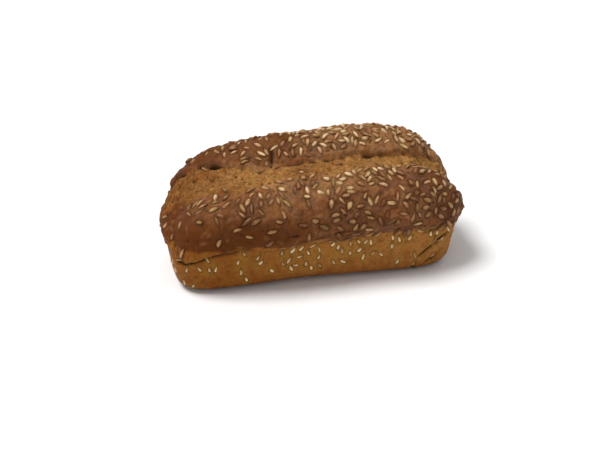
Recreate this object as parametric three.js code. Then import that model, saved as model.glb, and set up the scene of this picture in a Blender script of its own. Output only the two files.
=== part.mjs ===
// A wholemeal tin loaf with sunflower kernels baked onto its crown.
//
// Millimetres. X runs along the loaf, Y across it from front to back, and +Z is up.
// The origin lies on the surface that the loaf stands on, under the middle of its bounding box.
//
// The bread is one baked piece: a base that the tin shaped, and above it a crown that rose over the
// tin's rim, rolled outwards past it, and split along its length. Each kernel is a piece of its own.
import * as THREE from "three";
import { mergeVertices } from "three/addons/utils/BufferGeometryUtils.js";

// Level outlines: reach to the left, right, front and back. "corner" is the superellipse's exponent.
const FOOT = { left: 123.5, right: 123, front: 50.5, back: 50.5, corner: 5.5 };
const RIM = { left: 127, right: 127.5, front: 53.5, back: 53.5, corner: 5.5 };
const CROWN = { left: 131, right: 133.5, front: 61.5, back: 62.5, corner: 3.5 };

const FOOT_RADIUS = 12; // rounding between the underside and the tin-shaped wall
const FOOT_HOLLOW = { x: -12, spread: 85, inwards: 4, up: 2.5 }; // the foot's front edge, drawn in and lifted
const CREASE_HEIGHT = 44; // where the crown rolls over the wall
const CREASE_SAG = 17; // how much lower it runs at the front left corner
const CREASE_DEPTH = 1.6; // how far the crease is drawn in
const CREASE_LIP = 2.5; // height of the slope that leads into the crease
const BULGE_HEIGHT = { left: 48, middle: 62, right: 55 }; // the crown's widest level
const LOAF_HEIGHT = 107; // top of the front lobe, before the kernels
const BACK_LIFT = 9; // how much higher the back lobe stands
const DOME_POWER = 2.7; // fullness of the crown's dome along its level outlines
const PEAK_X = 26; // the crown is highest a little right of the middle
const END_DROP = 18; // how far the ridge has fallen at the loaf's ends

const SPLIT_Y = -6; // centre line of the lengthwise split
const SPLIT_DEPTH = { left: 7, right: 13 };
const SPLIT_HALF_WIDTH = { left: 20, right: 11 };
const SPLIT_NOTCH = 9; // how far the split cuts into the crown's two ends
const SPLIT_CHANGE = { left: -60, right: 10 }; // the split changes from left to right between these X
const SPLIT_WANDER = 2; // how far the centre line strays to either side

// Where the dough stands proud of the even dome, or falls short of it.
const LUMPS = [
  { x: 106, y: -32, spread: 30, rise: 7 },
  { x: 70, y: 34, spread: 34, rise: 4 },
  { x: -104, y: 30, spread: 26, rise: 4 },
  { x: 102, y: 28, spread: 22, rise: 3.5 },
  { x: 4, y: -26, spread: 30, rise: -4.5 },
  { x: 68, y: -21, spread: 24, rise: -3 },
];

const KERNELS = 59;
const KERNEL = { length: 9, width: 4.2, thickness: 2.4 };
const KERNEL_GAP = 0.35; // clearance between a kernel and the crust under it
const KERNEL_SPACING = 13; // least distance between two kernels' middles
const KERNEL_SEED = 20;

const CRUST_COLOUR = "#6a4226";
const KERNEL_COLOUR = "#c3a37c";

const clamp01 = (v) => Math.min(1, Math.max(0, v));
const mix = (from, to, share) => from + (to - from) * share;
const smooth = (low, high, v) => {
  const s = clamp01((v - low) / (high - low));
  return s * s * (3 - 2 * s);
};
const bump = (v, spread) => Math.exp(-((v / spread) ** 2));

// ---- the bread ----

// A point of the square |a| <= 1, |b| <= 1 on a level outline: the square's edge becomes a superellipse.
function onOutline(a, b, outline) {
  const reach = Math.max(Math.abs(a), Math.abs(b));
  const norm = (Math.abs(a) ** outline.corner + Math.abs(b) ** outline.corner) ** (1 / outline.corner);
  const scale = norm > 0 ? reach / norm : 0;
  const alongReach = a < 0 ? outline.left : outline.right;
  const acrossReach = b < 0 ? outline.front : outline.back;
  return [a * scale * alongReach, b * scale * acrossReach];
}

function blendOutline(from, to, share) {
  const blended = {};
  for (const key of Object.keys(from)) blended[key] = mix(from[key], to[key], share);
  return blended;
}

function inset(outline, by) {
  const { left, right, front, back, corner } = outline;
  return { left: left - by, right: right - by, front: front - by, back: back - by, corner };
}

// The crown hangs lower at the front left corner, and its edge wanders a little all round.
function creaseHeight(x, y) {
  const sag = CREASE_SAG * bump(x + FOOT.left, 24) * bump(y + FOOT.front, 26);
  return CREASE_HEIGHT - sag + 1.2 * Math.sin(x / 24 + 0.5) + 0.8 * Math.sin(x / 9 + y / 14);
}

function bulgeHeight(x) {
  const end = x < 0 ? BULGE_HEIGHT.left : BULGE_HEIGHT.right;
  return mix(BULGE_HEIGHT.middle, end, smooth(0.55, 1, Math.abs(x) / CROWN.right));
}

// Height of the crown's dome at a share of the way out from its middle to its widest outline.
function domeHeight(x, y, reach) {
  const rise = Math.sqrt(Math.max(0, 1 - reach ** DOME_POWER));
  const halfLength = x < PEAK_X ? CROWN.left + PEAK_X : CROWN.right - PEAK_X;
  const top = LOAF_HEIGHT + BACK_LIFT * smooth(-20, 20, y) - END_DROP * ((x - PEAK_X) / halfLength) ** 2;
  return mix(bulgeHeight(x), top, rise);
}

// Grid rows given to each stretch of the wall, from the foot up to the crown's shoulder.
const ROWS = { foot: 3, wall: 3, lip: 1, roll: 5, shoulder: 6 };
const SHOULDER_REACH = 0.8; // where the wall's grid hands over to the top's

function wallPoint(a, b, row) {
  let above = row;
  if (above < ROWS.foot) {
    const turn = (above / ROWS.foot) * (Math.PI / 2);
    const [x, y] = onOutline(a, b, inset(FOOT, FOOT_RADIUS * (1 - Math.sin(turn))));
    return [x, y, FOOT_RADIUS * (1 - Math.cos(turn))];
  }
  above -= ROWS.foot;
  const [rimX, rimY] = onOutline(a, b, RIM);
  const crease = creaseHeight(rimX, rimY);
  if (above < ROWS.wall) {
    const share = above / ROWS.wall;
    const [x, y] = onOutline(a, b, blendOutline(FOOT, RIM, share));
    return [x, y, mix(FOOT_RADIUS, crease - CREASE_LIP, share)];
  }
  above -= ROWS.wall;
  if (above < ROWS.lip) return [rimX, rimY, crease - CREASE_LIP];
  above -= ROWS.lip;
  if (above < ROWS.roll) {
    const turn = (above / ROWS.roll) * (Math.PI / 2);
    const [x, y] = onOutline(a, b, blendOutline(inset(RIM, CREASE_DEPTH), CROWN, Math.sin(turn)));
    return [x, y, mix(crease, bulgeHeight(x), 1 - Math.cos(turn))];
  }
  above -= ROWS.roll;
  const lastTurn = Math.asin(SHOULDER_REACH ** (DOME_POWER / 2));
  const turn = mix(Math.PI / 2, lastTurn, above / ROWS.shoulder);
  const reach = Math.sin(turn) ** (2 / DOME_POWER);
  const [x, y] = onOutline(a * reach, b * reach, CROWN);
  return [x, y, domeHeight(x, y, reach)];
}

function topPoint(a, b) {
  const reach = SHOULDER_REACH * Math.max(Math.abs(a), Math.abs(b));
  const [x, y] = onOutline(a * SHOULDER_REACH, b * SHOULDER_REACH, CROWN);
  return [x, y, domeHeight(x, y, reach)];
}

function splitSize(size, x) {
  return mix(size.left, size.right, smooth(SPLIT_CHANGE.left, SPLIT_CHANGE.right, x));
}

// 1 on the split's floor, falling to 0 on the lobes on either side of it.
function splitTrough(x, y) {
  const line = SPLIT_Y + SPLIT_WANDER * Math.sin(x / 37 + 1.2);
  return bump(y - line, splitSize(SPLIT_HALF_WIDTH, x));
}

// The split parts the crown into a front and a back lobe, and notches its ends.
function cutSplit([x, y, z]) {
  const trough = splitTrough(x, y) * smooth(BULGE_HEIGHT.left, BULGE_HEIGHT.middle + 20, z);
  const atEnd = smooth(0.72, 0.98, Math.abs(x) / CROWN.right);
  return [x - Math.sign(x) * SPLIT_NOTCH * trough * atEnd, y, z - splitSize(SPLIT_DEPTH, x) * trough];
}

// Lumps and slow swells of the dough, on the crown only.
function swell([x, y, z]) {
  const onCrown = smooth(CREASE_HEIGHT, BULGE_HEIGHT.middle, z);
  const onTop = smooth(BULGE_HEIGHT.middle - 6, BULGE_HEIGHT.middle + 18, z);
  let lumps = 0;
  for (const lump of LUMPS) lumps += lump.rise * bump(Math.hypot(x - lump.x, y - lump.y), lump.spread);
  const outwards = Math.sign(y) * smooth(0, 30, Math.abs(y));
  const across = 1.1 * Math.sin(x / 19 + 0.8) * Math.cos(y / 23) + 0.7 * Math.sin(x / 11 - z / 15);
  const up = 1.2 * Math.sin(x / 27 + y / 18 + 2) + 0.6 * Math.sin(x / 12 - y / 9);
  return [x, y + outwards * across * onCrown, z + up * onCrown + lumps * onTop];
}

// The foot's front edge bows inwards and upwards; the rest of the underside is level.
function hollowFoot([x, y, z]) {
  const share = bump(x - FOOT_HOLLOW.x, FOOT_HOLLOW.spread) * smooth(-24, -44, y);
  const drawnIn = FOOT_HOLLOW.inwards * share * smooth(30, 2, z);
  const lifted = FOOT_HOLLOW.up * share * smooth(18, 2, z);
  return [x, y + drawnIn, z + lifted];
}

const GRID = { along: 34, across: 18, up: 18 };

function breadGeometry() {
  const box = new THREE.BoxGeometry(2, 2, 2, GRID.along, GRID.across, GRID.up);
  box.deleteAttribute("normal");
  box.deleteAttribute("uv");
  const geometry = mergeVertices(box);
  const at = geometry.getAttribute("position");
  for (let i = 0; i < at.count; i++) {
    const [a, b, c] = [at.getX(i), at.getY(i), at.getZ(i)];
    let point;
    if (c <= -1) point = [...onOutline(a, b, inset(FOOT, FOOT_RADIUS)), 0];
    else if (c >= 1) point = topPoint(a, b);
    else point = wallPoint(a, b, ((c + 1) / 2) * GRID.up);
    at.setXYZ(i, ...hollowFoot(swell(cutSplit(point))));
  }
  geometry.computeVertexNormals();
  return geometry;
}

const crust = new THREE.MeshStandardMaterial({ color: CRUST_COLOUR, roughness: 0.75, metalness: 0 });
const bread = new THREE.Mesh(breadGeometry(), crust);
bread.name = "bread";

// ---- the kernels ----

// A hulled sunflower kernel: a flattened teardrop that lies along X, with its point towards +X.
function kernelGeometry() {
  const rings = 5;
  const bluntness = 0.72; // below 1, the widest place moves towards the blunt end
  const profile = [];
  for (let i = 0; i <= rings; i++) {
    const share = i / rings;
    const radius = i === rings ? 0 : Math.sin(Math.PI * share ** bluntness) / 2;
    profile.push(new THREE.Vector2(radius, share - 0.5));
  }
  const lathe = new THREE.LatheGeometry(profile, 8);
  lathe.deleteAttribute("normal");
  lathe.deleteAttribute("uv");
  const geometry = mergeVertices(lathe);
  geometry.rotateZ(-Math.PI / 2);
  geometry.scale(KERNEL.length, KERNEL.width, KERNEL.thickness);
  geometry.computeVertexNormals();
  return geometry;
}

// A repeatable stream of numbers from 0 to 1.
function numberStream(seed) {
  let state = seed;
  return () => {
    state = (state * 1664525 + 1013904223) % 4294967296;
    return state / 4294967296;
  };
}

// How thickly the kernels lie: bare split, thin on the front left, thick on the back and the right.
function sprinkle(x, y, z) {
  if (splitTrough(x, y) > 0.45) return 0;
  const high = smooth(CREASE_HEIGHT + 12, CREASE_HEIGHT + 34, z);
  const frontLeft = y < SPLIT_Y ? 1 - 0.6 * smooth(20, -40, x) : 1;
  return frontLeft * mix(0.25, 1, high);
}

const ray = new THREE.Raycaster();
bread.updateMatrixWorld(true);

function crustHit(from, direction) {
  ray.set(from, direction.clone().normalize());
  return ray.intersectObject(bread)[0];
}

// Height of the crust above a kernel's tangent plane, at the highest of the places under the kernel.
function crustRise(seat) {
  const above = 20;
  let rise = 0;
  for (const along of [-0.45, -0.2, 0, 0.2, 0.45]) {
    for (const across of [-0.35, 0, 0.35]) {
      const from = new THREE.Vector3(along * KERNEL.length, across * KERNEL.width, above).applyMatrix4(seat);
      const down = new THREE.Vector3(0, 0, -1).transformDirection(seat);
      const hit = crustHit(from, down);
      if (hit) rise = Math.max(rise, above - hit.distance);
    }
  }
  return rise;
}

// A matrix that lays a kernel on the crown, or nothing if no kernel lies at the place tried.
function kernelSeat(random) {
  const x = mix(-CROWN.left, CROWN.right, random()) * 0.95;
  const lean = mix(-1.45, 1.45, random());
  const heading = random() * 2 * Math.PI;
  const luck = random();
  const outwards = new THREE.Vector3(0.45 * (x / CROWN.right) ** 3, Math.sin(lean), Math.cos(lean));
  const core = new THREE.Vector3(x, 0, BULGE_HEIGHT.right);
  const hit = crustHit(core.clone().addScaledVector(outwards, 200), outwards.clone().negate());
  if (!hit || luck > sprinkle(hit.point.x, hit.point.y, hit.point.z)) return null;
  const up = hit.face.normal;
  const along = new THREE.Vector3(Math.cos(heading), Math.sin(heading), 0).projectOnPlane(up).normalize();
  const across = new THREE.Vector3().crossVectors(up, along);
  const seat = new THREE.Matrix4().makeBasis(along, across, up).setPosition(hit.point);
  const lift = crustRise(seat) + KERNEL_GAP + KERNEL.thickness / 2;
  return seat.setPosition(hit.point.clone().addScaledVector(up, lift));
}

const loaf = new THREE.Group();
loaf.add(bread);

const kernelSkin = new THREE.MeshStandardMaterial({ color: KERNEL_COLOUR, roughness: 0.6, metalness: 0 });
const oneKernel = kernelGeometry();
const random = numberStream(KERNEL_SEED);
const middles = [];
while (middles.length < KERNELS) {
  const seat = kernelSeat(random);
  if (!seat) continue;
  const middle = new THREE.Vector3().setFromMatrixPosition(seat);
  if (middles.some((other) => other.distanceTo(middle) < KERNEL_SPACING)) continue;
  middles.push(middle);
  const kernel = new THREE.Mesh(oneKernel, kernelSkin);
  kernel.name = `kernel_${String(middles.length).padStart(2, "0")}`;
  kernel.applyMatrix4(seat);
  loaf.add(kernel);
}

// The origin goes under the middle of the whole loaf.
const extent = new THREE.Box3().setFromObject(loaf, true);
const middle = extent.getCenter(new THREE.Vector3());
loaf.position.set(-middle.x, -middle.y, -extent.min.z);

const part = new THREE.Group();
part.add(loaf);

export default part;
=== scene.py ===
import math

import bmesh
import bpy
import numpy as np
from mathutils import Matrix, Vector
from mathutils.bvhtree import BVHTree


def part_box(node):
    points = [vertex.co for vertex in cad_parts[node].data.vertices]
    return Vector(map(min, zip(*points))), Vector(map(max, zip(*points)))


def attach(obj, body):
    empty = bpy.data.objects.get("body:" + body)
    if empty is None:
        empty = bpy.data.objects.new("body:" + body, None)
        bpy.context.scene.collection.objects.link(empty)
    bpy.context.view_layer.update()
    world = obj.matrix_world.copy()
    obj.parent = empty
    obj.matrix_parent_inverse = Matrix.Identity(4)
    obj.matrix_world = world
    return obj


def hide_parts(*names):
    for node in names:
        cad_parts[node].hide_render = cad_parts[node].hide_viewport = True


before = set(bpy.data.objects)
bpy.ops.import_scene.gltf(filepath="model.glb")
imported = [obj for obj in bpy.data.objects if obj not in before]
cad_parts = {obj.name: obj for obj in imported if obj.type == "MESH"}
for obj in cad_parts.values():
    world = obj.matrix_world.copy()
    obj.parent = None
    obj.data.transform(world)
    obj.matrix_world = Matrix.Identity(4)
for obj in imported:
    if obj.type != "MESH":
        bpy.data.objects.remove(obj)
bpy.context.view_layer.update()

# ---------------------------------------------------------------------------------------------------
# The dough: one piece of wholemeal dough that rose in an oblong tin. Its base took the tin's straight
# sides. The crown rose over the rim, rolled outwards past it, and tore open along its length, so that
# it has a front and a back lobe with a bed of bare crumb between them.

MM = 0.001
GRID = 1.2  # spacing of the crust's mesh, in mm: finer texture than this is left to the crust's bump
SMOOTHING = 11  # rounds of evening out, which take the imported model's facets away

bread_low, bread_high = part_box("bread")
half_length = (bread_high.x - bread_low.x) / 2 / MM
half_width = (bread_high.y - bread_low.y) / 2 / MM
height = bread_high.z / MM

CREASE_HEIGHT = 44  # where the crown rolls over the tin-shaped wall
CREASE_SAG = 17  # how much lower it runs at the front left corner

# The torn bed's two edges: the share of the half width at shares of the half length.
LIP_STATIONS = [-0.96, -0.9, -0.8, -0.7, -0.58, -0.5, -0.35, -0.2, -0.05, 0.15, 0.4, 0.6, 0.75, 0.86, 0.94]
BACK_LIP = [0.66, 0.46, 0.31, 0.23, 0.15, 0.04, -0.12, -0.13, -0.06, -0.03, 0.01, 0.03, 0.06, 0.14, 0.28]
FRONT_LIP = [0, 0.02, -0.16, -0.4, -0.57, -0.61, -0.61, -0.57, -0.57, -0.58, -0.5, -0.44, -0.26, -0.08, 0.02]

# Holes torn under the back lip: share of the half length, then length and depth in mm.
HOLES = [(-0.92, 6.5, 5.0), (-0.83, 3.0, 3.5), (-0.62, 7.0, 4.5), (-0.71, 2.5, 3.0)]

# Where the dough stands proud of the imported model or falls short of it: middle, spread and rise in mm.
SWELLS = [((-129, 35, 54), 18, -4.0), ((100, 30, 96), 18, 3.0), ((128, -26, 62), 16, 1.5)]

# Marks where the skin stretched over the rim at the front: start, end (along, up) in mm, and strength.
STRETCH_MARKS = [
    ((-20, 51), (9, 52.5), 1.0),
    ((-4, 54), (26, 56.5), 1.0),
    ((12, 51), (34, 52), 0.7),
    ((-34, 57), (-20, 58), 0.6),
]

# Folds in the wall at the front right corner: start, end (along, up) and width in mm.
WALL_FOLDS = [
    ((113, 37), (101, 31), 1.5),
    ((100, 29), (86, 18), 1.3),
    ((104, 18), (93, 9), 1.4),
    ((84, 10), (81, 1), 1.8),
]


def dough_mesh():
    """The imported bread, rounded and covered with an even net of small squares."""
    net = bmesh.new()
    net.from_mesh(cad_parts["bread"].data)
    bmesh.ops.remove_doubles(net, verts=net.verts, dist=0.01 * MM)
    any_bend = {"angle_face_threshold": math.pi, "angle_shape_threshold": math.pi}
    bmesh.ops.join_triangles(net, faces=net.faces, **any_bend)
    mesh = bpy.data.meshes.new("dough")
    net.to_mesh(mesh)
    net.free()
    dough = bpy.data.objects.new("dough", mesh)
    bpy.context.scene.collection.objects.link(dough)
    rounded = dough.modifiers.new("rounded", "SUBSURF")
    rounded.levels = 2
    even = dough.modifiers.new("even", "REMESH")
    even.mode = "VOXEL"
    even.voxel_size = GRID * MM
    bpy.context.view_layer.update()
    made = bpy.data.meshes.new_from_object(dough.evaluated_get(bpy.context.evaluated_depsgraph_get()))
    bpy.data.objects.remove(dough)
    return made


mesh = dough_mesh()
points = np.empty(len(mesh.vertices) * 3, np.float32)
mesh.vertices.foreach_get("co", points)
points = points.reshape(-1, 3).astype(float) / MM
edges = np.empty(len(mesh.edges) * 2, np.int32)
mesh.edges.foreach_get("vertices", edges)
edges = edges.reshape(-1, 2)
squares = np.empty(len(mesh.loops), np.int32)
mesh.loops.foreach_get("vertex_index", squares)
squares = squares.reshape(-1, 4)
neighbours = np.bincount(edges.ravel(), minlength=len(points))[:, None]


def gathered(values, starts, ends):
    """The sum of values at the ends of the links that begin at each point."""
    count = len(points)
    columns = [np.bincount(starts, weights=column[ends], minlength=count) for column in values.T]
    return np.stack(columns, axis=1)


def relaxed(values, rounds, share=0.6):
    """Values at the mesh's points, evened out with their neighbours' a number of times."""
    for _ in range(rounds):
        around = gathered(values, edges[:, 0], edges[:, 1]) + gathered(values, edges[:, 1], edges[:, 0])
        values = values + share * (around / neighbours - values)
    return values


def outward(surface):
    """The outward direction at each point."""
    a, b, c, d = (surface[squares[:, k]] for k in range(4))
    facing = np.cross(c - a, d - b)
    total = np.zeros_like(surface)
    for k in range(4):
        for axis in range(3):
            total[:, axis] += np.bincount(squares[:, k], weights=facing[:, axis], minlength=len(surface))
    return total / np.linalg.norm(total, axis=1, keepdims=True)


def ramp(low, high, value):
    """0 below low, 1 above high, and a smooth rise between them."""
    share = np.clip((value - low) / (high - low), 0, 1)
    return share * share * (3 - 2 * share)


def bell(value, spread):
    return np.exp(-((value / spread) ** 2))


def scrambled(cells, seed):
    """A repeatable whole number for each cell of a cubic lattice."""
    x, y, z = (cells[..., k].astype(np.int64).astype(np.uint32) for k in range(3))
    mixed = x * np.uint32(73856093) ^ y * np.uint32(19349663) ^ z * np.uint32(83492791)
    mixed = mixed + np.uint32(seed * 7919)
    for shift, factor in ((16, 0x7FEB352D), (15, 0x846CA68B), (16, 1)):
        mixed = (mixed ^ (mixed >> np.uint32(shift))) * np.uint32(factor)
    return mixed


def lattice_vectors(cells, seed):
    """Three repeatable numbers from -1 to 1 for each cell."""
    mixed = scrambled(cells, seed)
    parts = [(mixed >> np.uint32(10 * k)) & np.uint32(1023) for k in range(3)]
    return np.stack(parts, axis=-1) / 511.5 - 1


def lumps(where, size, seed, octaves=1):
    """Smooth lumps and hollows, about -1 to 1, that are size mm apart. Each octave halves both."""
    total, strength = 0, 1
    for octave in range(octaves):
        at = where / size * 2**octave
        cell = np.floor(at)
        inside = at - cell
        fade = inside**3 * (inside * (inside * 6 - 15) + 10)
        value = 0
        for corner in np.ndindex(2, 2, 2):
            corner = np.array(corner)
            pull = (lattice_vectors(cell + corner, seed + 31 * octave) * (inside - corner)).sum(-1)
            weight = np.where(corner, fade, 1 - fade).prod(-1)
            value = value + pull * weight
        total = total + value * strength * 1.6
        strength /= 2
    return total


def nearest_spots(where, size, seed):
    """Distance, in shares of size, to the nearest of spots about size mm apart, and that spot's number."""
    at = where / size
    cell = np.floor(at)
    best = np.full(len(where), 9.0)
    number = np.zeros(len(where))
    for step in np.ndindex(3, 3, 3):
        near = cell + np.array(step) - 1
        spot = lattice_vectors(near, seed)
        gap = np.linalg.norm(near + 0.5 + 0.45 * spot - at, axis=1)
        closer = gap < best
        best = np.where(closer, gap, best)
        number = np.where(closer, spot[:, 0] * 0.5 + 0.5, number)
    return best, number


def crease_height(x, y):
    sag = CREASE_SAG * bell(x + half_length - 5, 24) * bell(y + half_width - 13, 26)
    return CREASE_HEIGHT - sag + 1.2 * np.sin(x / 24 + 0.5) + 0.8 * np.sin(x / 9 + y / 14)


def line_gap(where, start, end, axes=(0, 2)):
    """Distance in mm from a straight line seen flat along one axis, and the share of the way along it."""
    flat = where[:, axes]
    start, end = np.array(start, float), np.array(end, float)
    share = np.clip((flat - start) @ (end - start) / ((end - start) @ (end - start)), 0, 1)
    return np.linalg.norm(flat - start - share[:, None] * (end - start), axis=1), share


points = relaxed(points, SMOOTHING)
normals = outward(points)
x, y, z = points.T
u = x / half_length  # -1 at the left end, 1 at the right
wander = lumps(points, 24, 29) * 1.8 + lumps(points, 11, 3) * 1.9
back_lip = np.interp(u, LIP_STATIONS, BACK_LIP) * half_width
front_lip = np.interp(u, LIP_STATIONS, FRONT_LIP) * half_width


def slant(lip):
    """How much nearer a lip is, measured squarely, than it is straight across the loaf."""
    stations = np.linspace(-1, 1, 400)
    slope = np.gradient(np.interp(stations, LIP_STATIONS, lip) * half_width, stations * half_length)
    return 1 / np.sqrt(1 + np.interp(u, stations, slope) ** 2)


past_back = (back_lip - y) * slant(BACK_LIP) + wander
past_front = (y - front_lip) * slant(FRONT_LIP) + wander
at_left, at_right = ramp(-0.88, -1.0, u), ramp(0.88, 1.0, u)
on_top = ramp(12, 22, z - CREASE_HEIGHT + 8 * at_left)
in_bed = np.minimum(past_back, past_front)
in_bed = np.where(on_top > 0, in_bed, -9)
torn = ramp(0.3, 2.9, past_back) * ramp(-2.5, 4.5, past_front + 2 * lumps(points, 5, 24)) * on_top

ragged = lumps(points * [1, 1, 2], 7, 5) * 1.3 + lumps(points, 2.6, 6) * 0.5
over_crease = z - crease_height(x, y) + ragged
crown = ramp(-1, 2, over_crease)
wall = 1 - crown
pale = 1 - ramp(-4.5, 4.5, z - CREASE_HEIGHT - 3.5 + 1.6 * ragged + 3.2 * lumps(points, 14, 27))
stands = ramp(0.2, 3, z)  # nothing moves on the underside

# The dough's slow swells, and the wall's slight hollows where the tin held it.
swell = 1.3 * lumps(points, 30, 7) * crown + 0.5 * lumps(points, 38, 8) * wall
for middle, spread_out, rise in SWELLS:
    swell += rise * bell(np.linalg.norm(points - middle, axis=1), spread_out)

# The bed lies lower than the skin, which stands up in a lip on either side and is undercut at the back.
bed_depth = np.interp(u, [-0.9, -0.5, 0, 1], [0.8, 1.3, 1.6, 2.2])
filled = np.interp(u, [-0.5, -0.2, 0.3, 0.8], [0, 2.5, 2.5, 0.8])
swell += filled * bell(past_back - 7, 6) * on_top
bed_slope = 0.35 + 0.65 * bell(past_back, 14)
swell -= bed_depth * bed_slope * ramp(-0.6, 2.6, past_back) * ramp(0, 12, past_front) * on_top
lip_height = np.interp(u, [-0.6, -0.3], [0.2, 1.3]) + 0.6 * lumps(points, 9, 9)
swell += lip_height * bell(past_back + 2.0, 2.2) * ramp(-8, 0, past_front) * on_top
undercut = bell(past_back - 1.8, 1.7) * torn * ramp(-0.2, 0.5, lumps(points, 12, 10) + 0.25)
swell -= np.interp(u, [-0.6, -0.3, 0.2, 0.6], [0.6, 1.8, 1.5, 0.8]) * undercut
hole = np.zeros(len(points))
for along, length, depth in HOLES:
    hole += depth * bell(np.hypot((x - along * half_length) / length, (past_back - 2) / 1.7), 1) * on_top
swell -= hole

# Soft crumb in the bed: blebs, strands pulled across the tear, and burst bubbles. Its noise is turned
# askew, so that its lattice does not line up with the lips.
ASKEW = np.array([(0.8, 0.6, 0), (-0.36, 0.48, 0.8), (0.48, -0.64, 0.6)])
bubbles, bubble_number = nearest_spots(points @ ASKEW, 5.2, 11)
bubble_reach = 0.18 + 0.28 * ramp(0.55, 1, bubble_number)
pits = ramp(bubble_reach, 0.1, bubbles) * (bubble_number > 0.55) * ramp(4, 8, past_back)
blebs = 1.8 * lumps(points @ ASKEW, 9, 12, octaves=3) + 0.4 * lumps(points @ ASKEW, 3.2, 13)
swell += (blebs - 2.0 * pits) * torn

# The crown is rolled over the wall in a crease, sharp at the left and softer along the front.
sharp = np.interp(u, [-1, -0.62, -0.5, 0.6, 0.95], [1.0, 1.0, 0.45, 0.4, 0.9])
sharp = np.where(y > 0, 0.7, sharp)
swell -= 2.2 * sharp * bell(over_crease - 0.3, 1.4)
swell += (1.2 * at_left + 1.8 * at_right) * bell(over_crease - 8, 6)
swell -= 1.6 * (at_left + at_right) * bell(over_crease - 0.5, 2.5)
swell -= 1.5 * at_left * bell(over_crease - 28, 14)
pulled = lumps(points * [0.14, 0.14, 1], 1.9, 14) + 0.6 * lumps(points * [0.25, 0.25, 1], 1.2, 15)
swell += 0.4 * pulled * bell(over_crease, 5.5)

# Skin of the crown: wrinkles, dimples and a few blisters.
blisters, blister_number = nearest_spots(points, 9, 16)
skin = 0.9 * lumps(points, 9, 17) + 0.8 * lumps(points, 4.5, 18, octaves=2)
skin += 0.6 * ramp(0.3, 0.1, blisters) * (blister_number > 0.6)
swell += skin * crown * (1 - torn)

# The wall is smooth from the tin, with pinholes where bubbles met it.
pinholes, pinhole_number = nearest_spots(points, 6, 19)
pinholes = ramp(0.2, 0.08, pinholes) * (pinhole_number > 0.7)
swell += (0.14 * lumps(points, 6, 20, octaves=2) - 0.8 * pinholes) * wall

# Folds in the dough: a crack across the back lobe, a furrow in the front one, the marks where the skin
# stretched, and the folds in the wall.
in_front = ramp(0, -20, y)
crooked = points + 2.2 * lumps(points, 7, 28)[:, None]
fissure, share = line_gap(crooked, (-36, -12), (-32, 9), axes=(0, 1))
fissure = bell(fissure, 1.0 + 1.3 * np.sin(math.pi * share)) * on_top * ramp(2, 0, past_back)
swell -= 2.2 * fissure
fold, _ = line_gap(points, (11, 90), (18, 71))
swell -= 1.1 * bell(fold, 2.2) * in_front * crown
stretched = np.zeros(len(points))
for start, end, depth in STRETCH_MARKS:
    fold, share = line_gap(points + ragged[:, None] * 0.3, start, end)
    fading = np.sin(math.pi * (0.1 + 0.8 * share))
    stretched = np.maximum(stretched, bell(fold, 0.9) * in_front * fading * depth)
swell -= 1.8 * stretched
folded = np.zeros(len(points))
for start, end, width in WALL_FOLDS:
    fold, share = line_gap(points + ragged[:, None] * 0.4, start, end)
    swell += 0.7 * bell(fold - 1.8 * width, width) * in_front * wall
    folded = np.maximum(folded, bell(fold, width) * in_front * wall * np.sin(math.pi * (0.15 + 0.7 * share)))
swell -= 2.0 * folded

points = points + normals * (swell * stands)[:, None]
normals = outward(points)
surface = BVHTree.FromPolygons([Vector(p) for p in points], squares.tolist())

# ---------------------------------------------------------------------------------------------------
# Kernels on the crown: hulled sunflower kernels, flat teardrops that the baker pressed onto the wet
# dough. They lie flat in the skin, thick on the back lobe, along the split and on the right.

KERNEL = np.array([9.3, 3.7, 2.9])  # length, width and thickness
CREAM, TAN, TOASTED = "#e0c298", "#a3784b", "#6a4224"
THROWN = 18000  # kernels thrown at the crown: most find their place taken
LOST_SHARE = 0.12  # of those that land, the share that fell off again
MOST_BRIDGED = 1.3  # mm that a kernel's end may stand off the crust
rng = np.random.RandomState(11)


def seat(spot, heading):
    """A kernel's place on the crust: its middle and its three axes, lying flat along the heading."""
    found, facing, _, _ = surface.find_nearest(Vector(spot))
    up = np.array(facing)
    along = heading - up * (heading @ up)
    along /= np.linalg.norm(along)
    return np.array(found), np.stack([along, np.cross(up, along), up])


def crown_share(spot):
    """How thickly kernels lie at a point of the crown, from 0 to 1."""
    u, v, w = spot[:, 0] / half_length, spot[:, 1] / half_width, spot[:, 2] / height
    front = spot[:, 1] < np.interp(u, LIP_STATIONS, FRONT_LIP) * half_width
    front_top = np.interp(u, [-1, -0.6, -0.2, 0.2, 0.6, 1], [1.0, 1.0, 0.85, 0.9, 1.0, 1.0])
    front_low = np.interp(u, [-1, -0.86, -0.3, 0.2, 1], [0.7, 0.14, 0.2, 0.45, 0.7])
    front_share = front_low + (front_top - front_low) * ramp(0.62, 0.86, w)
    edge = np.interp(u, LIP_STATIONS, FRONT_LIP) * half_width - spot[:, 1]
    front_share = front_share + 1.8 * bell(edge - 4, 7) * ramp(0.0, 0.3, u)
    back_share = np.interp(u, [-1, -0.7, -0.45, -0.2, 0.3], [0.15, 0.25, 0.6, 1.1, 1.9]) * ramp(0.42, 0.75, w)
    clumped = 0.75 + 0.5 * lumps(spot, 22, 25)
    back_edge = spot[:, 1] - np.interp(u, LIP_STATIONS, BACK_LIP) * half_width
    back_share = np.maximum(back_share, 0.15) * (0.1 + 0.9 * ramp(2, 12 - 6 * ramp(-0.1, 0.2, u), back_edge))
    back_share = back_share * (1 - 0.6 * ramp(26, 42, spot[:, 1]) * ramp(0.1, -0.3, u))
    return np.where(front, front_share, back_share) * clumped.clip(0.3, 1.3)


def axis_points(middle, axes, size):
    """Three points along a kernel, by which it is kept clear of the others."""
    return middle + np.array([-0.32, 0, 0.32])[:, None] * size[0] * axes[0]


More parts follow.
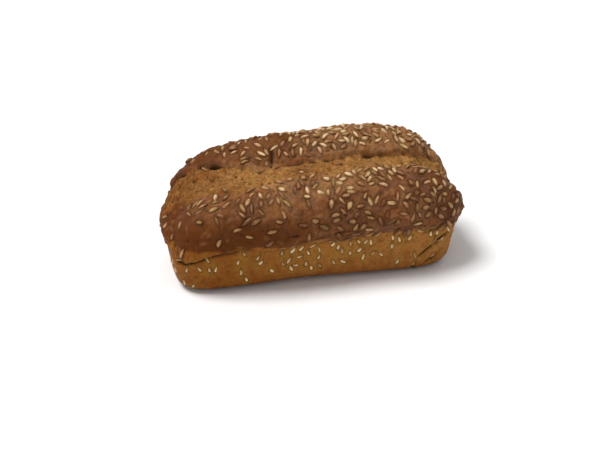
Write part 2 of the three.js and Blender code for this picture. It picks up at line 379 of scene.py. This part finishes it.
class Sprinkling:
    """Kernels of one kind: their middles, axes and sizes, kept clear of every other kernel."""

    taken = np.empty((0, 3))

    def __init__(self):
        self.middles, self.axes, self.sizes, self.toasts = [], [], [], []

    def add(self, middle, axes, size, gap, toast):
        held = axis_points(middle, axes, size)
        if len(Sprinkling.taken):
            between = np.linalg.norm(Sprinkling.taken[None] - held[:, None], axis=2)
            if between.min() < gap:
                return
        Sprinkling.taken = np.vstack([Sprinkling.taken, held])
        self.middles.append(middle)
        self.axes.append(axes)
        self.sizes.append(size)
        self.toasts.append(toast)


def stands_off(middle, axes, size):
    """How far a kernel's ends are from the crust, in mm: they cannot bridge a sharp bend."""
    ends = [middle + side * size[0] * axes[0] for side in (-0.45, 0.45)]
    return max(surface.find_nearest(Vector(end))[3] for end in ends)


def crown_toast(spot, lift):
    """How brown a kernel is: those that sank into the skin or lie low on the crown are browner."""
    evenly = np.interp(spot[0] / half_length, [-0.6, 0, 0.4], [0.5, 0.75, 0.6])
    low = ramp(0.85, 0.6, spot[2] / height) * evenly
    high = ramp(0.8, 0.95, spot[2] / height) * ramp(-0.3, 0.2, spot[0] / half_length)
    return 0.9 * rng.beta(1.0, 1.5) + 0.25 * (0.8 - lift) + 0.6 * low - 0.12 * high


def crown_lift(thickly):
    """How far a kernel's middle stands above the skin, in mm: more where they lie thickly."""
    return rng.uniform(-0.9, 0.2) + 0.3 * min(thickly, 1.2)


def kernel_size():
    return KERNEL * rng.normal([0.92, 0.95, 1.0], [0.12, 0.14, 0.12]).clip(0.65, 1.25)


def tilted(axes, roll, pitch):
    """A kernel's axes, rolled about its length and pitched up at one end, in radians."""
    along, across, up = axes
    across, up = across * math.cos(roll) + up * math.sin(roll), up * math.cos(roll) - across * math.sin(roll)
    along, up = along * math.cos(pitch) + up * math.sin(pitch), up * math.cos(pitch) - along * math.sin(pitch)
    return np.stack([along, across, up])


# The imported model's own kernels keep their places, and sit down into the skin.
placed = Sprinkling()
kernel_nodes = sorted(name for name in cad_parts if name.startswith("kernel_"))
for name in kernel_nodes:
    corners = np.array([v.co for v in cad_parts[name].data.vertices]) / MM
    middle = corners.mean(0)
    _, _, directions = np.linalg.svd(corners - middle, full_matrices=False)
    skew = ((corners - middle) @ directions[0]) ** 3
    middle, axes = seat(middle, directions[0] * (1 if skew.sum() > 0 else -1))
    size = kernel_size()
    axes = tilted(axes, rng.normal(0, 0.10), rng.normal(0, 0.06))
    lift = crown_lift(0.5)
    placed.add(middle + axes[2] * lift, axes, size, 0, crown_toast(middle, lift))

# The rest are sprinkled over the crown. Some sank out of sight low on its left and show only as bumps in
# the skin, and some fell off and left dents.
sprinkled, buried, lost = Sprinkling(), Sprinkling(), Sprinkling()
square_middles = points[squares].mean(1)
square_over = over_crease[squares].mean(1)
off_bed = (past_back[squares].mean(1) < -2.5) | (past_front[squares].mean(1) < 4)
off_bed &= (fissure[squares].mean(1) < 0.1) & (hole[squares].mean(1) < 0.3)
share = crown_share(square_middles) * (square_over > 2) * off_bed
share *= 0.35 + 0.65 * ramp(4, 14, square_over) + 1.2 * bell(square_over - 3, 3)
for pick in rng.choice(len(squares), THROWN, p=share / share.sum()):
    heading = rng.normal(size=3)
    middle, axes = seat(square_middles[pick], heading)
    size = kernel_size()
    axes = tilted(axes, rng.normal(0, 0.15 + 0.2 * min(share[pick], 1)), rng.normal(0, 0.12))
    if stands_off(middle, axes, size) > MOST_BRIDGED:
        continue
    gap = 2.5 + 0.5 * rng.rand() + 8 * rng.rand() * max(0, 1 - share[pick])
    if rng.rand() < 0.5 * ramp(0.85, 0.6, middle[2] / height) * ramp(0.3, -0.2, middle[0] / half_length):
        buried.add(middle, axes, size * 0.9, gap, 0)
        continue
    if rng.rand() < LOST_SHARE:
        lost.add(middle, axes, size * 0.9, gap, 0)
        continue
    lift = crown_lift(share[pick]) - 0.4 * ramp(20, 40, middle[1])
    sprinkled.add(middle + axes[2] * lift, axes, size, gap, crown_toast(middle, lift))

KERNEL_RINGS, KERNEL_SIDES = 9, 10
BLUNTNESS = 0.8  # below 1, the widest place moves towards the blunt end
FULLNESS = 0.62  # below 1, the outline is rounder than a sine's


def kernel_template():
    """One kernel's points in shares of its size, its faces, and how near each point is to its outline."""
    spots, outline = [], []
    for ring in range(KERNEL_RINGS):
        share = (ring + 0.5) / KERNEL_RINGS
        reach = math.sin(math.pi * share**BLUNTNESS) ** FULLNESS
        for side in range(KERNEL_SIDES):
            turn = 2 * math.pi * side / KERNEL_SIDES
            ridge = 1 + 0.10 * max(0, math.sin(turn)) ** 6
            across = math.copysign(abs(math.cos(turn)) ** 0.9, math.cos(turn)) * reach / 2
            up = math.copysign(abs(math.sin(turn)) ** 0.85, math.sin(turn)) * reach**0.7 / 2 * ridge
            spots.append((share - 0.5, across, up))
            outline.append(1 - max(0, math.sin(turn)) * min(1, reach * 1.1))
    faces = []
    for ring in range(KERNEL_RINGS - 1):
        for side in range(KERNEL_SIDES):
            a, b = ring * KERNEL_SIDES + side, ring * KERNEL_SIDES + (side + 1) % KERNEL_SIDES
            faces.append((a, b, b + KERNEL_SIDES, a + KERNEL_SIDES))
    blunt, point = len(spots), len(spots) + 1
    spots += [(-0.5, 0, 0), (0.5, 0, 0)]
    outline += [0.7, 0.9]
    last = (KERNEL_RINGS - 1) * KERNEL_SIDES
    for side in range(KERNEL_SIDES):
        after = (side + 1) % KERNEL_SIDES
        faces.append((after, side, blunt))
        faces.append((last + side, last + after, point))
    return np.array(spots), faces, np.array(outline)


def hex_colour(text):
    """An sRGB hex colour as linear red, green, blue and alpha."""
    values = [int(text[k : k + 2], 16) / 255 for k in (1, 3, 5)]
    return [v / 12.92 if v <= 0.04045 else ((v + 0.055) / 1.055) ** 2.4 for v in values] + [1]


def kernel_piece(name, sprinkling):
    """One object of many kernels, with what its material reads: toast, outline and grain."""
    template, faces, outline = kernel_template()
    count = len(sprinkling.middles)
    corners, links, grain = [], [], []
    for k in range(count):
        shaped = template * sprinkling.sizes[k]
        own_place = [k * 17.0, 0, 0]
        shaped[:, 1] += rng.normal(0, 0.015) * shaped[:, 0] ** 2
        shaped[:, 2] -= abs(rng.normal(0, 0.012)) * shaped[:, 0] ** 2
        uneven = 1 + 0.16 * lumps(shaped + own_place, 2.6, 26, octaves=2)
        shaped[:, 1:] *= uneven[:, None]
        corners.append(shaped @ sprinkling.axes[k] + sprinkling.middles[k])
        grain.append(shaped + own_place)
        links += [[c + k * len(template) for c in face] for face in faces]
    made = bpy.data.meshes.new(name)
    made.from_pydata((np.concatenate(corners) * MM).tolist(), [], links)
    for key, kind, values in (
        ("toast", "FLOAT", np.repeat(sprinkling.toasts, len(template))),
        ("hue", "FLOAT", np.repeat(rng.rand(count), len(template))),
        ("outline", "FLOAT", np.tile(outline, count)),
        ("grain", "FLOAT_VECTOR", np.concatenate(grain)),
    ):
        attribute = made.attributes.new(key, kind, "POINT")
        field = "vector" if kind == "FLOAT_VECTOR" else "value"
        attribute.data.foreach_set(field, np.ascontiguousarray(values, np.float32).ravel())
    made.shade_smooth()
    piece = bpy.data.objects.new(name, made)
    bpy.context.scene.collection.objects.link(piece)
    return piece


def node(tree, kind, links=(), **settings):
    """Adds a shader node. Links are {socket: another node's output, or a plain value}."""
    made = tree.nodes.new(kind)
    for key, value in settings.items():
        setattr(made, key, value)
    for key, value in dict(links).items():
        socket = made.inputs[key]
        if isinstance(value, bpy.types.NodeSocket):
            tree.links.new(value, socket)
        else:
            socket.default_value = value
    return made


def new_material(name):
    made = bpy.data.materials.new(name)
    made.use_nodes = True
    made.node_tree.nodes.clear()
    return made, made.node_tree


# Toasted sunflower kernel: cream at its crest and browner towards its edge, partly its own toasting and
# partly a painted highlight along the crest and painted shade down its sides. It is browner with the oven's
# heat, with fine grooves along it. Its oily skin gives a soft highlight.
kernel_skin, tree = new_material("toasted sunflower kernel")
toast = node(tree, "ShaderNodeAttribute", attribute_name="toast").outputs["Fac"]
outline = node(tree, "ShaderNodeAttribute", attribute_name="outline").outputs["Fac"]
grain = node(tree, "ShaderNodeAttribute", attribute_name="grain").outputs["Vector"]
along_kernel = node(tree, "ShaderNodeMapping", {"Vector": grain, "Scale": (0.25, 1, 1)}).outputs["Vector"]
GROOVE = 1.1  # mm between the grooves, drawn a little coarser than real ones so that they show
grooves = node(tree, "ShaderNodeTexNoise", {"Vector": along_kernel, "Scale": 1 / GROOVE, "Detail": 3.0})
patches = node(tree, "ShaderNodeTexNoise", {"Vector": grain, "Scale": 1 / 4.0, "Detail": 2.0})
heat = node(tree, "ShaderNodeMath", {0: patches.outputs["Fac"], 1: toast}, operation="ADD").outputs[0]
# The outline term: partly the kernel's own browner edge, partly painted shade down its sides that leaves a
# painted highlight on its crest.
heat = node(tree, "ShaderNodeMath", {0: outline, 1: 0.9, 2: heat}, operation="MULTIPLY_ADD").outputs[0]
heat = node(tree, "ShaderNodeMath", {0: heat, 1: grooves.outputs["Fac"]}, operation="ADD").outputs[0]
shade = node(tree, "ShaderNodeMapRange", {"Value": heat, "From Min": 1.12, "From Max": 2.5}).outputs[0]
skin = node(tree, "ShaderNodeValToRGB", {"Fac": shade})
skin.color_ramp.elements[0].color = hex_colour(CREAM)
skin.color_ramp.elements[1].color = hex_colour(TOASTED)
skin.color_ramp.elements.new(0.45).color = hex_colour(TAN)
own_hue = node(tree, "ShaderNodeAttribute", attribute_name="hue").outputs["Fac"]
own_hue = node(tree, "ShaderNodeMapRange", {"Value": own_hue, "To Min": 0.492, "To Max": 0.514}).outputs[0]
skin = node(tree, "ShaderNodeHueSaturation", {"Color": skin.outputs["Color"], "Hue": own_hue})
groove_height = {"Height": grooves.outputs["Fac"], "Strength": 0.5, "Distance": 0.25 * MM}
relief = node(tree, "ShaderNodeBump", groove_height)
shader = node(
    tree,
    "ShaderNodeBsdfPrincipled",
    {
        "Base Color": skin.outputs["Color"],
        "Roughness": 0.42,
        "IOR": 1.47,
        "Specular IOR Level": 0.2,
        "Normal": relief.outputs["Normal"],
    },
)
node(tree, "ShaderNodeOutputMaterial", {"Surface": shader.outputs[0]})

crown_kernels = kernel_piece("crown_kernels", placed)
crown_kernels.data.materials.append(kernel_skin)
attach(crown_kernels, "root")
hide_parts(*kernel_nodes)

sprinkled_kernels = kernel_piece("sprinkled_kernels", sprinkled)
sprinkled_kernels.data.materials.append(kernel_skin)
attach(sprinkled_kernels, "root")

# ---------------------------------------------------------------------------------------------------
# Kernels in the tin-shaped wall: they stuck to the dough before it went into the tin, so that the tin
# pressed them flush. Only their faces show, each in a ring of painted shade in the crust.

THROWN_AT_WALL = 220

# Where they lie together in the front: along and up, in mm.
WALL_CLUMPS = [
    (-106, 24), (-96, 28), (-72, 26), (-60, 34), (-30, 31), (-24, 22), (-12, 34), (-8, 24), (2, 38),
    (19, 27), (34, 40), (64, 42), (78, 42), (84, 16), (103, 38), (118, 12),
]

pressed = Sprinkling()
share = (0.5 + 0.5 * ramp(-34, -12, square_over)) * (square_over < -1) * ramp(8, 13, square_middles[:, 2])
clumps = ramp(0.05, 0.45, lumps(square_middles, 22, 21))
in_clump = np.zeros(len(squares))
for along, up in WALL_CLUMPS:
    reach = np.hypot(square_middles[:, 0] - along, square_middles[:, 2] - up)
    in_clump = np.maximum(in_clump, bell(reach, 6.5))
share = share * (0.06 + np.where(square_middles[:, 1] < -0.7 * half_width, 1.6 * in_clump, clumps))
for pick in rng.choice(len(squares), THROWN_AT_WALL, p=share / share.sum()):
    heading = rng.normal(0, 0.5, size=3) + [0.2, 0, 1]
    middle, axes = seat(square_middles[pick], heading)
    size = kernel_size() * [0.8, 0.74, 1]
    middle = middle - axes[2] * rng.uniform(0.8, 1.1)
    toast = rng.beta(2, 3) - 0.16 + 0.2 * ramp(-40, -80, middle[0])
    pressed.add(middle, axes, size, 2.8 + 1.9 * rng.rand(), toast)

wall_kernels = kernel_piece("wall_kernels", pressed)
wall_kernels.data.materials.append(kernel_skin)
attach(wall_kernels, "root")

# ---------------------------------------------------------------------------------------------------
# The crust: the dough's surface, pressed up round each kernel and baked. The crown is dark and faintly
# glossy, the wall that the tin shielded is paler, and the torn bed is bare tan crumb.

RIM, BUMP, DENT = 0.35, 0.9, -1.0  # mm: round a kernel, over a sunken one, and where one fell off
KERNEL_REACH = 8  # mm along the loaf from a kernel's middle, beyond which the crust doesn't feel it

risen = np.zeros(len(points))
ringed = np.zeros(len(points))
halo = np.zeros(len(points))
veiled = np.zeros(len(points))
x_order = np.argsort(points[:, 0])
x_sorted = points[x_order, 0]
for sprinkling, rim in ((placed, RIM), (sprinkled, RIM), (pressed, 0), (buried, BUMP), (lost, DENT)):
    for middle, axes, size in zip(sprinkling.middles, sprinkling.axes, sprinkling.sizes):
        first, last = np.searchsorted(x_sorted, [middle[0] - KERNEL_REACH, middle[0] + KERNEL_REACH])
        near = x_order[first:last]
        local = (points[near] - middle) @ axes.T / (size / 2)
        reach = np.hypot(local[:, 0], local[:, 1])
        reach = np.where(np.abs(local[:, 2]) < 3, reach, 9)
        if sprinkling in (buried, lost):
            risen[near] += rim * bell(reach, 0.85)
            if sprinkling is buried:
                veiled[near] = np.maximum(veiled[near], ramp(1.1, 0.6, reach))
            continue
        risen[near] += rim * bell(reach - 1.25, 0.3) - 0.5 * ramp(1.05, 0.75, reach)
        # A ring of painted shade in the crust round each kernel's edge.
        ringed[near] = np.maximum(ringed[near], bell(reach - 1.05, 0.3))
        if sprinkling is pressed:
            halo[near] = np.maximum(halo[near], bell(reach - 1.7, 1.1))

points = points + normals * (np.clip(risen, -1, 0.9) * stands)[:, None]
points = relaxed(points, 1, 0.35)
points[:, 2] = np.maximum(points[:, 2], 0)
mesh.vertices.foreach_set("co", np.ascontiguousarray(points * MM, np.float32).ravel())
mesh.update()
mesh.shade_smooth()

# How far each point lies below its surroundings, which the oven's heat reached less; the crust's colour also
# paints shade into these hollows.
normals = outward(points)
hollow = ((relaxed(points, 9) - points) * normals).sum(1)
bake = 0.5 + 0.3 * lumps(points, 34, 22) + 0.25 * lumps(points, 12, 23) + 0.12 * lumps(points, 5, 30)
bake = np.clip(bake - 0.25 * hollow, 0, 1)
# The crown's lower band is darker: partly its deeper bake, partly painted shade where the crown turns down
# towards the wall.
low_band = bell(over_crease - 9, 15) * crown
bake += np.interp(u, [-0.5, 0, 1], [0.5, 0.04, 0.35]) * low_band * (1 - pale)
bake += ramp(-0.35, -0.8, u) * (0.1 + 0.2 * pale)
bake += pale * (0.55 * ramp(CREASE_HEIGHT - 4, 4, z) - 0.38)
bake -= np.interp(u, [-0.6, -0.3, 0.2, 0.5], [0.1, 0.45, 0.2, 0.05]) * ramp(-26, -2, in_bed) * on_top
bake += 0.15 * torn * ramp(-0.4, -0.7, u) - 0.15 * pale * ramp(0.1, 0.7, u)
bake += (0.3 * torn - 0.3 * pale) * bell(u + 0.08, 0.3)
bake -= 0.45 * ramp(-0.1, 0.4, u) * ramp(-8, 2, past_front) * (1 - 0.7 * torn) * on_top
bake += 0.2 * bell(z, 5) + 0.15 * bell(past_back + 3, 4) * on_top
bake -= 0.2 * torn * ramp(0.2, 0.6, u) + 0.12 * ramp(0, -6, past_back) * on_top
bake = np.clip(bake, 0, 1.2)
oily = ramp(0.4, -0.5, u) * np.maximum(ramp(0.75, 0.55, z / height), 0.8 * ramp(0, -4, past_back))
# Painted shade along the crease, the crack, the stretch marks, the wall's folds and the holes.
recess_shade = sharp * bell(over_crease - 0.3, 0.9) * ramp(0.35, 0.9, sharp)
recess_shade = np.max([recess_shade, 0.6 * fissure, 0.8 * stretched, 0.6 * folded, np.clip(hole / 4, 0, 1)], axis=0)
for key, values in (
    ("torn", torn),
    ("pale", pale),
    ("halo", halo),
    ("recess_shade", recess_shade),
    ("bake", bake),
    ("hollow", np.clip(hollow * 0.5 + 0.5, 0, 1)),
    ("ringed", ringed),
    ("veiled", veiled),
    ("oily", oily),
):
    mesh.attributes.new(key, "FLOAT", "POINT").data.foreach_set("value", values.astype(np.float32))

CROWN_DARK, CROWN_MID, CROWN_LIGHT = "#532c12", "#7f5231", "#a07146"
WALL_DARK, WALL_MID, WALL_LIGHT, OILED = "#693c13", "#8e5421", "#a06931", "#98742a"
CRUMB_DARK, CRUMB_LIGHT, CRUMB_RED = "#70451d", "#b38349", "#9c5a2a"
CROWN_OILY, WALL_OILY = "#5c2d03", "#7f4607"
CROWN_RED, CROWN_DULL, WALL_RED = "#935022", "#6f4f42", "#763b11"
BRAN, PAINTED_SHADE = "#452613", "#241207"

# Baked wholemeal crust: matt and mottled, with specks of bran, darker where it stands out to the heat. Its
# colour also paints shade into hollows and pits, round each kernel, and along creases, cracks, folds and
# holes.
crust, tree = new_material("baked wholemeal crust")
place = node(tree, "ShaderNodeTexCoord").outputs["Object"]
in_mm = node(tree, "ShaderNodeMapping", {"Vector": place, "Scale": (1 / MM,) * 3}).outputs["Vector"]
reads = {}
for key in ("torn", "pale", "halo", "bake", "hollow", "ringed", "veiled", "recess_shade", "oily"):
    reads[key] = node(tree, "ShaderNodeAttribute", attribute_name=key).outputs["Fac"]


def mottle(size, detail=3.0):
    """Cloudy variation from 0 to 1 whose patches are about size mm across."""
    settings = {"Vector": in_mm, "Scale": 1 / size, "Detail": detail, "Roughness": 0.55}
    return node(tree, "ShaderNodeTexNoise", settings).outputs["Fac"]


def blend(first, second, share):
    mix = node(tree, "ShaderNodeMix", {"Factor": share}, data_type="RGBA")
    for socket, value in zip((mix.inputs[6], mix.inputs[7]), (first, second)):
        if isinstance(value, bpy.types.NodeSocket):
            tree.links.new(value, socket)
        else:
            socket.default_value = hex_colour(value)
    return mix.outputs[2]


def spread(value, low, high):
    """Value stretched so that low becomes 0 and high becomes 1."""
    return node(tree, "ShaderNodeMapRange", {"Value": value, "From Min": low, "From Max": high}).outputs[0]


def total(first, second):
    return node(tree, "ShaderNodeMath", {0: first, 1: second}, operation="ADD").outputs[0]


def times(first, second):
    return node(tree, "ShaderNodeMath", {0: first, 1: second}, operation="MULTIPLY").outputs[0]


patchy = node(tree, "ShaderNodeMapRange", {"Value": mottle(5.0), "To Min": 0.15, "To Max": 0.85}).outputs[0]
browned = total(reads["bake"], patchy)
crown_colour = blend(CROWN_LIGHT, CROWN_MID, spread(browned, 0.6, 1.0))
crown_colour = blend(crown_colour, CROWN_DARK, spread(browned, 0.95, 1.5))
wall_colour = blend(WALL_LIGHT, WALL_MID, spread(browned, 0.7, 1.15))
wall_colour = blend(wall_colour, WALL_DARK, spread(browned, 1.1, 1.6))
crumbled = total(total(mottle(3.5), mottle(1.6)), times(reads["bake"], 0.5))
crumb_colour = blend(CRUMB_LIGHT, CRUMB_DARK, spread(crumbled, 0.85, 1.5))
crown_colour = blend(crown_colour, CROWN_RED, times(spread(mottle(17.0), 0.48, 0.66), 0.3))
crown_colour = blend(crown_colour, CROWN_DULL, times(spread(mottle(12.0), 0.5, 0.68), 0.5))
crown_colour = blend(crown_colour, CROWN_OILY, times(reads["oily"], 0.85))
wall_colour = blend(wall_colour, WALL_OILY, times(reads["oily"], 0.6))
wall_colour = blend(wall_colour, WALL_RED, times(spread(mottle(13.0), 0.48, 0.7), 0.55))
crown_colour = blend(crown_colour, TAN, times(reads["veiled"], 0.2))
shielded = spread(total(reads["pale"], times(mottle(4.0), 0.8)), 0.65, 1.15)
colour = blend(crown_colour, wall_colour, shielded)
colour = blend(colour, OILED, times(reads["halo"], 0.3))
colour = blend(colour, OILED, times(reads["pale"], times(spread(mottle(8.0), 0.5, 0.68), 0.25)))
crumb_colour = blend(crumb_colour, CRUMB_RED, times(spread(mottle(7.0), 0.5, 0.7), 0.5))
colour = blend(colour, crumb_colour, reads["torn"])
flecks = spread(mottle(2.6, 4.0), 0.5, 0.66)
colour = blend(colour, BRAN, times(flecks, 0.38))
specks = spread(mottle(1.1, 1.0), 0.62, 0.72)
colour = blend(colour, BRAN, times(specks, total(0.25, times(reads["torn"], 0.25))))
# Painted shade: darker in hollows and pits, in a ring round each kernel, and along creases, cracks, folds and
# holes.
colour = blend(colour, PAINTED_SHADE, times(spread(reads["hollow"], 0.56, 0.85), 0.8))
colour = blend(colour, PAINTED_SHADE, times(reads["ringed"], total(times(reads["pale"], 0.08), 0.42)))
colour = blend(colour, PAINTED_SHADE, times(reads["recess_shade"], 0.65))

pores = node(tree, "ShaderNodeTexVoronoi", {"Vector": in_mm, "Scale": 1 / 1.6}).outputs["Distance"]
fine = total(times(mottle(0.9, 4.0), 1.0), times(spread(pores, 0.0, 0.4), 0.5))
relief = node(tree, "ShaderNodeBump", {"Height": fine, "Strength": 0.5, "Distance": 0.65 * MM})
dull = total(0.6, times(reads["torn"], 0.25))
shader = node(
    tree,
    "ShaderNodeBsdfPrincipled",
    {
        "Base Color": colour,
        "Roughness": dull,
        "IOR": 1.45,
        "Specular IOR Level": 0.08,
        "Normal": relief.outputs["Normal"],
    },
)
node(tree, "ShaderNodeOutputMaterial", {"Surface": shader.outputs[0]})

mesh.materials.clear()
mesh.materials.append(crust)
bread_crust = bpy.data.objects.new("bread_crust", mesh)
bpy.context.scene.collection.objects.link(bread_crust)
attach(bread_crust, "root")
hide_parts("bread")

# ---------------------------------------------------------------------------------------------------
# The studio: a pale sweep of floor, a bright overcast surround and one large, far softbox.

floor_mesh = bpy.data.meshes.new("floor")
FLOOR = 6.0  # half its width, in metres
corners = [(-FLOOR, -FLOOR, 0), (FLOOR, -FLOOR, 0), (FLOOR, FLOOR, 0), (-FLOOR, FLOOR, 0)]
floor_mesh.from_pydata(corners, [], [(0, 1, 2, 3)])
floor = bpy.data.objects.new("floor", floor_mesh)
bpy.context.scene.collection.objects.link(floor)
paper, tree = new_material("white paper sweep")
place = node(tree, "ShaderNodeTexCoord").outputs["Object"]
fibres = node(tree, "ShaderNodeTexNoise", {"Vector": place, "Scale": 400.0})
fibres = {"Value": fibres.outputs["Fac"], "To Min": 0.93, "To Max": 0.95}
tone = node(tree, "ShaderNodeMapRange", fibres).outputs[0]
shader = node(tree, "ShaderNodeBsdfPrincipled", {"Base Color": tone, "Roughness": 0.9})
node(tree, "ShaderNodeOutputMaterial", {"Surface": shader.outputs[0]})
floor_mesh.materials.append(paper)

world = bpy.data.worlds.new("studio")
world.use_nodes = True
world.node_tree.nodes["Background"].inputs["Color"].default_value = (1, 1, 1, 1)
world.node_tree.nodes["Background"].inputs["Strength"].default_value = 0.5
bpy.context.scene.world = world

softbox = bpy.data.lights.new("softbox", "SUN")
softbox.energy = 2.5
softbox.angle = math.radians(26)
key_light = bpy.data.objects.new("softbox", softbox)
key_light.rotation_mode = "QUATERNION"
key_light.rotation_quaternion = Vector((-0.45, 0.0, 1.0)).to_track_quat("Z", "Y")
bpy.context.scene.collection.objects.link(key_light)

# The camera looks down on the loaf from the front and a little from its left end.
AZIMUTH, ELEVATION = math.radians(-12.3), math.radians(28.8)
DISTANCE = 1.17
FOCAL_LENGTH, SENSOR = 79.6, 36  # mm
ASIDE, BELOW = 8.4 * MM, 15.4 * MM  # it aims left of the loaf's middle and below it
back = Vector((
    math.sin(AZIMUTH) * math.cos(ELEVATION),
    -math.cos(AZIMUTH) * math.cos(ELEVATION),
    math.sin(ELEVATION),
))
right = Vector((math.cos(AZIMUTH), math.sin(AZIMUTH), 0))
up = back.cross(right)
aim = Vector((0, 0, 0.05)) - right * ASIDE - up * BELOW
lens = bpy.data.cameras.new("camera")
lens.lens = FOCAL_LENGTH
lens.sensor_width = SENSOR
camera = bpy.data.objects.new("camera", lens)
camera.location = aim + back * DISTANCE
camera.rotation_mode = "QUATERNION"
camera.rotation_quaternion = back.to_track_quat("Z", "Y")
bpy.context.scene.collection.objects.link(camera)
bpy.context.scene.camera = camera
bpy.context.scene.view_settings.view_transform = "Standard"
